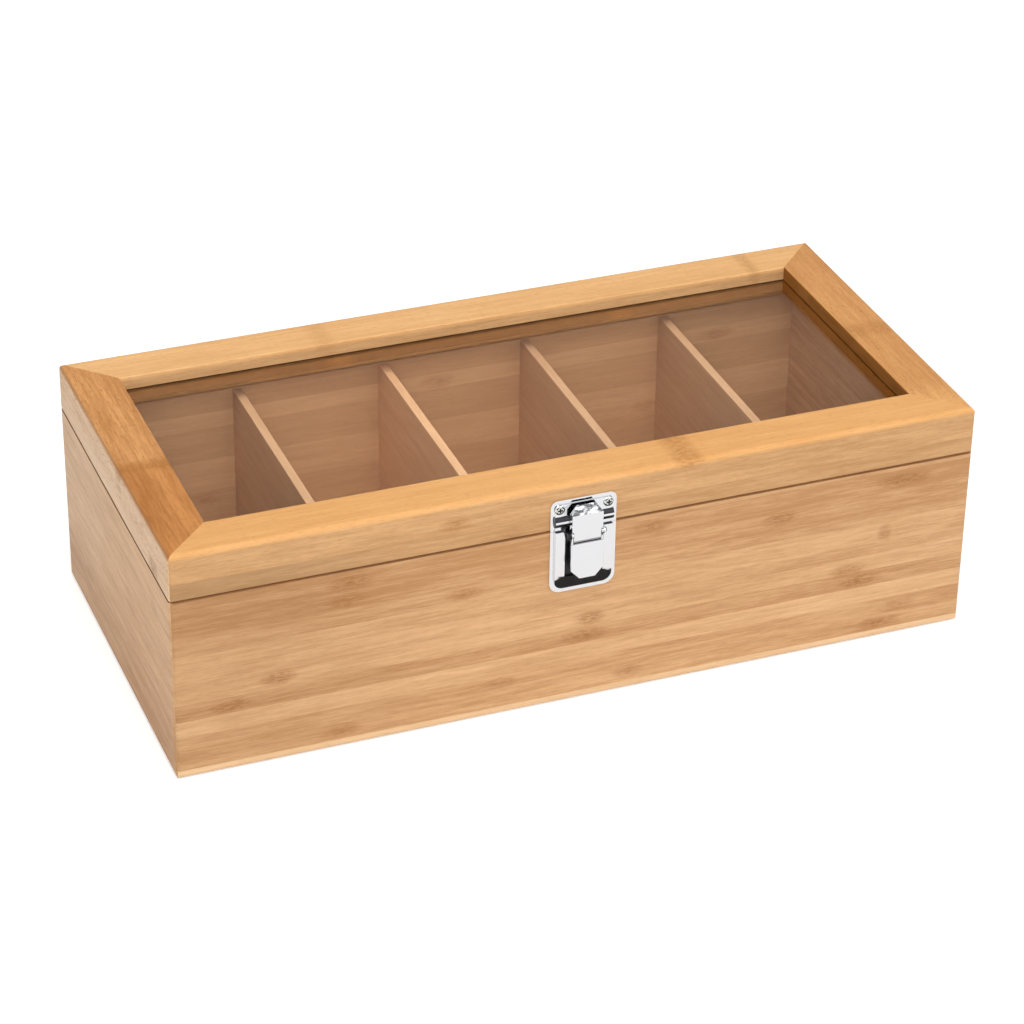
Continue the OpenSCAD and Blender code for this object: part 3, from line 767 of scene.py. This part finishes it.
def plating_group():
    """Plated metal: faint smears, fine rubbing marks, and the slow waves of a pressed sheet."""
    tree, given, result = new_group(
        "plating marks", "ShaderNodeTree",
        {"Vector": "Vector", "Base Roughness": 0.1, "Smear": 0.1, "Rubbing": 0.1,
         "Waves": 5.0}, {"Roughness": 0.1, "Height": 0.0})
    smears = add(tree, "ShaderNodeTexNoise", {
        "Vector": given["Vector"], "Scale": 90, "Detail": 3}).outputs["Fac"]
    rubbing = add(tree, "ShaderNodeTexNoise", {
        "Vector": add(tree, "ShaderNodeVectorMath", {
            0: given["Vector"], 1: (400, 400, 6000)}, operation="MULTIPLY"),
        "Scale": 1, "Detail": 1}).outputs["Fac"]
    soft = calc(tree, "MULTIPLY", calc(tree, "MULTIPLY", smears, rubbing), given["Smear"])
    tree.links.new(calc(tree, "ADD", given["Base Roughness"], soft), result["Roughness"])
    pressed = add(tree, "ShaderNodeTexNoise", {
        "Vector": given["Vector"], "Scale": 230, "Detail": 1}).outputs["Fac"]
    waves = calc(tree, "MULTIPLY", pressed, given["Waves"])
    tree.links.new(calc(tree, "MULTIPLY_ADD", rubbing, given["Rubbing"], waves),
                   result["Height"])
    return tree


plating_marks = plating_group()


def plating(name, color, roughness, smear, rubbing, waves):
    """A plated metal finish."""
    material, tree, shader = new_finish(name, {"Base Color": (*color, 1), "Metallic": 1.0})
    marks = add(tree, "ShaderNodeGroup", {
        "Vector": add(tree, "ShaderNodeTexCoord").outputs["Object"],
        "Base Roughness": roughness, "Smear": smear, "Rubbing": rubbing, "Waves": waves},
        node_tree=plating_marks)
    tree.links.new(marks.outputs["Roughness"], shader.inputs["Roughness"])
    rough_up(tree, shader, 1.0, 0.00001, marks.outputs["Height"])
    return material


zinc = plating("bright zinc", (0.62, 0.62, 0.61), 0.22, 0.3, 0.3, 2)
for part in ("case_leaf", "lid_leaf", "pin"):
    for side in ("left", "right"):
        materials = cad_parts["hinge_%s_%s" % (part, side)].data.materials
        materials.clear()
        materials.append(zinc)


def turned_screw(outline, recess_size, turn):
    """A screw turned round Z from (radius, up) points in mm, with a crossed recess cut in.
    The cutter stands a little proud of the head, and its foot is narrower."""
    shell = bmesh.new()
    ring = [shell.verts.new((r * MM, 0, z * MM)) for r, z in outline]
    edges = [shell.edges.new(pair) for pair in zip(ring, ring[1:])]
    bmesh.ops.spin(shell, geom=ring + edges, cent=(0, 0, 0), axis=(0, 0, 1),
                   angle=math.tau, steps=32, use_duplicate=False)
    bmesh.ops.remove_doubles(shell, verts=shell.verts, dist=0.000005)
    bmesh.ops.recalc_face_normals(shell, faces=shell.faces)
    screw = new_object("screw", mesh_of(shell, "screw"))

    long, wide = recess_size
    head, proud, deep, narrow = outline[0][1], 0.2, 0.5, 0.45
    cutter_shell = bmesh.new()
    for angle in (0, math.pi / 2):
        made = bmesh.ops.create_cube(cutter_shell, size=1)["verts"]
        for vert in made:
            taper, up = (1, head + proud) if vert.co.z > 0 else (narrow, head - deep)
            vert.co = Vector((vert.co.x * long * taper, vert.co.y * wide, up)) * MM
        bmesh.ops.rotate(cutter_shell, verts=made, cent=(0, 0, 0),
                         matrix=Matrix.Rotation(angle, 3, "Z"))
    cutter = new_object("recess", mesh_of(cutter_shell, "recess"))
    cut = screw.modifiers.new("recess", "BOOLEAN")
    cut.operation = "DIFFERENCE"
    cut.solver = "EXACT"
    cut.use_self = True
    cut.object = cutter
    keep_shape(screw)
    cut_mesh = screw.data
    cut_mesh.transform(turn)
    bpy.data.objects.remove(screw)
    bpy.data.objects.remove(cutter)
    return cut_mesh


def screws(name, mesh, node, body, slot, material, **row):
    """Screws set in a row by the tree, in place of the model's."""
    values = {"Copies Each": 1, "Count": 1, "Material": material}
    for key, value in row.items():
        key = key.replace("_", " ").title()
        values[key] = tuple(v * MM for v in value) if isinstance(value, tuple) else value
    piece = settle(run_tree(name, mesh, copies_tree, values), crease=40)
    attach(piece, body)
    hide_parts(node)
    return piece


hinge_x = 126
leaf_screw_x, leaf_screw_in = 7, 4.9
leaf_screw_y = case_d / 2 - pin_inset - leaf_screw_in
leaf_face = 0.05
flush_recess = (2.0, 0.4)
flush_screw = [(0, 0), (1.8, 0), (1.75, -0.08), (0.9, -0.9), (0.9, -6.2), (0, -6.4)]
for name, node, body, up in (("hinge_screws_case", "hinge_case_screws", "case", -1),
                             ("hinge_screws_lid", "hinge_lid_screws", "lid", 1)):
    turn = Matrix.Rotation(math.pi if up > 0 else 0, 4, "X")
    screws(name, turned_screw(flush_screw, flush_recess, turn), node, body, "hinge_steel",
           zinc, start=(-hinge_x - leaf_screw_x, leaf_screw_y, pin_z + up * leaf_face),
           count=2, pitch=(2 * hinge_x, 0, 0), copies_each=2, step=(2 * leaf_screw_x, 0, 0))


# ---- Latch ----
# Pressed and chromed steel. A catch plate with a half-round bar is screwed to the lid, and a
# raised base plate to the case. The lever turns on rivets between the base plate's two ears.
# The hook hinges on a pin between the lever's cheeks.

latch_x = -2
front_y = -case_d / 2
chrome = plating("chrome", (0.78, 0.79, 0.81), 0.03, 0.12, 0.1, 9)
nickel = plating("nickel", (0.7, 0.71, 0.67), 0.12, 0.2, 0.2, 1)
# Black, for painted shade and dark reflections.
shade_and_reflection_black = plating("steel painted black for shade and dark reflections", (0.05, 0.05, 0.055), 0.35, 0.3, 0.4, 5)
# Grey, for the painted shade of the gap between hook and lever.
gap_shade_grey = plating("nickel painted grey for the gap's shade", (0.5, 0.5, 0.51), 0.6, 0.2, 0.3, 2)
# Pale chrome, for a painted pale reflection.
pale_painted_chrome = plating("chrome painted pale for a pale reflection", (0.86, 0.87, 0.89), 0.45, 0.2, 0.3, 2)


def softened_copy(name, node, body, material, radius, edge=None):
    """A pressed piece in place of the model's, with its sheet edges softened by a bevel.
    edge is the height of an edge that is moved, and its new height."""
    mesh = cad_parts[node].data.copy()
    shell = bmesh.new()
    shell.from_mesh(mesh)
    bmesh.ops.remove_doubles(shell, verts=shell.verts, dist=0.000002)
    for vert in shell.verts:
        if edge and abs(vert.co.z / MM - edge[0]) < 0.02:
            vert.co.z = edge[1] * MM
    bmesh.ops.dissolve_limit(shell, angle_limit=math.radians(1), verts=shell.verts,
                             edges=shell.edges)
    shell.to_mesh(mesh)
    shell.free()
    mesh.materials.clear()
    mesh.materials.append(material)
    piece = new_object(name, mesh)
    bevel = piece.modifiers.new("softened edges", "BEVEL")
    bevel.width = radius * MM
    bevel.segments = 3
    bevel.limit_method = "ANGLE"
    bevel.angle_limit = math.radians(32)
    keep_shape(piece)
    settle(piece)
    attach(piece, body)
    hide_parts(node)
    return piece


# The plates' meeting edges, which come closer to the pin line, and the softened edges' sizes
catch_foot_z, base_top_z, apart = pin_z + 0.2, pin_z - 0.4, 0.05
plate_r, lever_r, pin_r = 0.2, 0.25, 0.15
catch = softened_copy("catch_plate", "latch_catch_plate", "lid", chrome,
                      plate_r, edge=(catch_foot_z, pin_z + apart))
base = softened_copy("base_plate", "latch_base_plate", "case", chrome,
                     plate_r, edge=(base_top_z, pin_z - apart))
lever = softened_copy("lever", "latch_lever", "lever", chrome, lever_r)
hook = softened_copy("hook", "latch_hook", "hook", chrome, lever_r)
# The rivets are painted black, like the left ear, as painted shade.
softened_copy("rivets", "lever_rivets", "case", shade_and_reflection_black, pin_r)
softened_copy("hook_pin_rod", "hook_pin", "lever", nickel, pin_r)

# Painted shade and reflections: the well round the lever, the left ear and the upper and lower
# flanks of the bar that the hook takes hold of are painted black, for the shade and the dark
# reflections there. The right ear is painted pale, for a pale reflection, and the hook's knuckle
# and the lever's top edge grey, for the shade of the gap between them. The limits leave room for
# the softened edges.
catch_seat, base_seat, tray_out = 1.4, 0.9, 2.4
well_half_w, well_foot_z = 8.65, pin_z - 22.5
ear_foot_z, ear_top_z = pin_z - 6.7, pin_z + 2
bar_foot_z, bar_top_z = pin_z + 1.5, pin_z + 7.6
flank_below, flank_above = -9, 14
knuckle_z = pin_z - 3.2
lever_top_z = knuckle_z - 1.7
cheek_in = 7


def out(at):
    """How many mm a point of the latch stands out from the front boards."""
    return front_y - at.y


def in_well(at, n):
    """Whether a face of the base plate lies in the well."""
    off = abs(at.x - latch_x)
    return (out(at) < tray_out - 0.12 and well_foot_z < at.z < ear_top_z
            and (off < well_half_w - 0.4 or off < well_half_w and abs(n.x) > 0.9))


def on_ear(at, side):
    """Whether a face of the base plate is on the left ear, side -1, or on the right one, 1."""
    return out(at) > tray_out + 0.3 and at.z > ear_foot_z and (at.x - latch_x) * side > 0


def on_flank(at, n):
    """Whether a face of the catch plate is the upper or lower flank of its bar."""
    tilt = math.degrees(math.atan2(n.z, -n.y))
    return (bar_foot_z < at.z < bar_top_z and out(at) > catch_seat + 0.1
            and not flank_below <= tilt <= flank_above)


def on_lever_top(at, n):
    """Whether a face of the lever is on the top edge of its thumb plate."""
    return n.z > 0.2 and abs(at.z - lever_top_z) < 0.3 and abs(at.x - latch_x) < cheek_in


# Painted black: shade in the well, and dark reflections on the left ear.
repaint(base, shade_and_reflection_black, lambda at, n: in_well(at, n) or on_ear(at, -1))
# Painted pale reflection on the right ear.
repaint(base, pale_painted_chrome, lambda at, n: on_ear(at, 1))
# Painted dark reflections on the bar's flanks.
repaint(catch, shade_and_reflection_black, on_flank)
# Painted shade of the gap between hook and lever, in grey.
repaint(hook, gap_shade_grey, lambda at, n: at.z < knuckle_z + 0.1)
repaint(lever, gap_shade_grey, on_lever_top)

catch_screw_x, catch_screw_z = 10.9, pin_z + 10.4
base_screw_z, base_screw_step = pin_z - 11.5, -7
domed_screw = [(0, 0.72), (0.8, 0.7), (1.4, 0.6), (1.9, 0.4), (2.2, 0.16), (2.3, 0.0),
               (1.1, 0.0), (1.1, -8.2), (0, -8.5)]
catch_recess, base_recess = (3.0, 0.8), (2.6, 0.55)
face_out = Matrix.Rotation(math.pi / 2, 4, "X")


def in_recess(at, n):
    """Whether a face of the catch plate's screws is on the floor or a wall of a recess."""
    up = out(at) - catch_seat
    reach = max(abs(abs(at.x - latch_x) - catch_screw_x), abs(at.z - catch_screw_z))
    return reach < catch_recess[0] / 2 and (up < 0.3 or up < 0.56 and abs(n.y) < 0.99)


catch_heads = screws(
    "catch_plate_screws", turned_screw(domed_screw, catch_recess, face_out),
    "catch_screws", "lid", "latch_fasteners", nickel,
    start=(latch_x - catch_screw_x, front_y - catch_seat, catch_screw_z),
    count=2, pitch=(2 * catch_screw_x, 0, 0))
# Painted shade in the screws' recesses.
repaint(catch_heads, shade_and_reflection_black, in_recess)
screws("base_plate_screws", turned_screw(domed_screw, base_recess, face_out),
       "base_screws", "case", "latch_fasteners", nickel,
       start=(latch_x, front_y - base_seat, base_screw_z),
       count=2, pitch=(0, 0, base_screw_step))


# ---- Studio ----
# A pale floor, three soft lamps and a white room. Black cards, which the camera doesn't see,
# give the chrome its dark lines and keep the lamps and the room from fogging the pane.


def flat_card(name, centre, size, turn=(0, 0, 0)):
    """A flat card of that size in metres, lying level unless it is turned."""
    mesh = bpy.data.meshes.new(name)
    w, d = size[0] / 2, size[1] / 2
    mesh.from_pydata([(-w, -d, 0), (w, -d, 0), (w, d, 0), (-w, d, 0)], [], [(0, 1, 2, 3)])
    card = new_object(name, mesh)
    card.location = centre
    card.rotation_euler = turn
    return card


# The floor glows for the camera, the more the farther out, so that it ends up plain white
glow_near, glow_far = 0.42, 0.62
glow_from, glow_to = 0.5, 2.5
mirror_glow = 0.1
floor_white, tree, shader = new_finish("white floor", {
    "Base Color": (0.84, 0.84, 0.84, 1), "Roughness": 0.9, "Specular IOR Level": 0.0,
    "Emission Color": (1, 1, 1, 1)})
path = add(tree, "ShaderNodeLightPath").outputs
seen = calc(tree, "MAXIMUM", path["Is Camera Ray"], path["Is Transmission Ray"])
mirrored = calc(tree, "MULTIPLY", path["Is Glossy Ray"], mirror_glow)
away = add(tree, "ShaderNodeVectorMath", {
    0: add(tree, "ShaderNodeTexCoord").outputs["Object"]}, operation="LENGTH")
glow = ease(tree, away.outputs["Value"], glow_from, glow_to, glow_near, glow_far)
tree.links.new(calc(tree, "MULTIPLY_ADD", seen, glow, mirrored),
               shader.inputs["Emission Strength"])
floor_drop, floor_size = 0.0002, (12, 12)
floor = flat_card("floor", (0, 0, -floor_drop), floor_size)
floor.data.materials.append(floor_white)


def card_black(name, size, fade):
    """Black for a card, clear to light that has met wood, and faded out towards its edges.
    Through the pane it glows a little, so that it looks grey."""
    pane_grey = 0.30
    material, tree, shader = new_finish(name, {
        "Base Color": (0.01, 0.01, 0.01, 1), "Roughness": 1.0, "Emission Color": (1, 1, 1, 1)})
    path = add(tree, "ShaderNodeLightPath").outputs
    tree.links.new(calc(tree, "MULTIPLY", path["Is Transmission Ray"], pane_grey),
                   shader.inputs["Emission Strength"])
    unseen = path["Diffuse Depth"]
    if fade:
        at = place_on(tree)
        for axis, length in zip("XY", size):
            off = calc(tree, "ABSOLUTE", at[axis])
            edge = ease(tree, off, length / 2 - fade, length / 2)
            unseen = calc(tree, "MAXIMUM", unseen, edge)
    mixed = add(tree, "ShaderNodeMixShader", {
        0: calc(tree, "MINIMUM", unseen, 1), 1: shader,
        2: add(tree, "ShaderNodeBsdfTransparent")})
    tree.links.new(mixed.outputs[0], tree.nodes["Material Output"].inputs["Surface"])
    return material


# Each card's middle, size, turn about X and fade, and each lamp's place, size and power
behind, facing = math.radians(-50), math.radians(48)
for name, centre, size, turn, fade in (
        ("card_low", (0.02, -0.1245, 0.001), (0.3, 0.045), 0, 0),
        ("card_front", (0.33, -0.78, 0.73), (0.06, 0.03), facing, 0),
        ("card_high", (0.2, 0.1, 1.4), (2.4, 2.2), 0, 0.25),
        ("card_behind", (0.2, 1.5, 1.0), (4.6, 1.4), behind, 0.25)):
    card = flat_card(name, centre, size, (turn, 0, 0))
    card.data.materials.append(card_black(name.replace("_", " ") + " black", size, fade))
    card.visible_camera = card.visible_diffuse = card.visible_shadow = False
    card.visible_transmission = name == "card_behind"

lamps_meet = Vector((0, 0, 0.05))
lamps = (("key", (-0.8, -1.9, 1.5), 1.3, 14.5), ("fill", (1.5, -1.6, 1.2), 1.4, 7.8),
         ("top", (-0.1, -0.7, 2.1), 1.2, 23))
for name, place, size, power in lamps:
    light = bpy.data.lights.new(name, "AREA")
    light.shape = "SQUARE"
    light.size = size
    light.energy = power
    lamp = new_object(name, light)
    lamp.location = place
    aim = lamps_meet - Vector(place)
    lamp.rotation_euler = aim.to_track_quat("-Z", "Y").to_euler()

world = bpy.data.worlds.new("white room")
world.use_nodes = True
bpy.context.scene.world = world
tree = world.node_tree
path = add(tree, "ShaderNodeLightPath").outputs
seen = calc(tree, "MAXIMUM", path["Is Camera Ray"], path["Is Glossy Ray"])
seen = calc(tree, "MAXIMUM", seen, path["Is Transmission Ray"])
room = tree.nodes["Background"]
room.inputs["Color"].default_value = (1, 1, 1, 1)
room_light, seen_glow = 0.5, 0.5
tree.links.new(calc(tree, "MULTIPLY_ADD", seen, seen_glow, room_light), room.inputs["Strength"])

bpy.context.scene.view_settings.view_transform = "Standard"
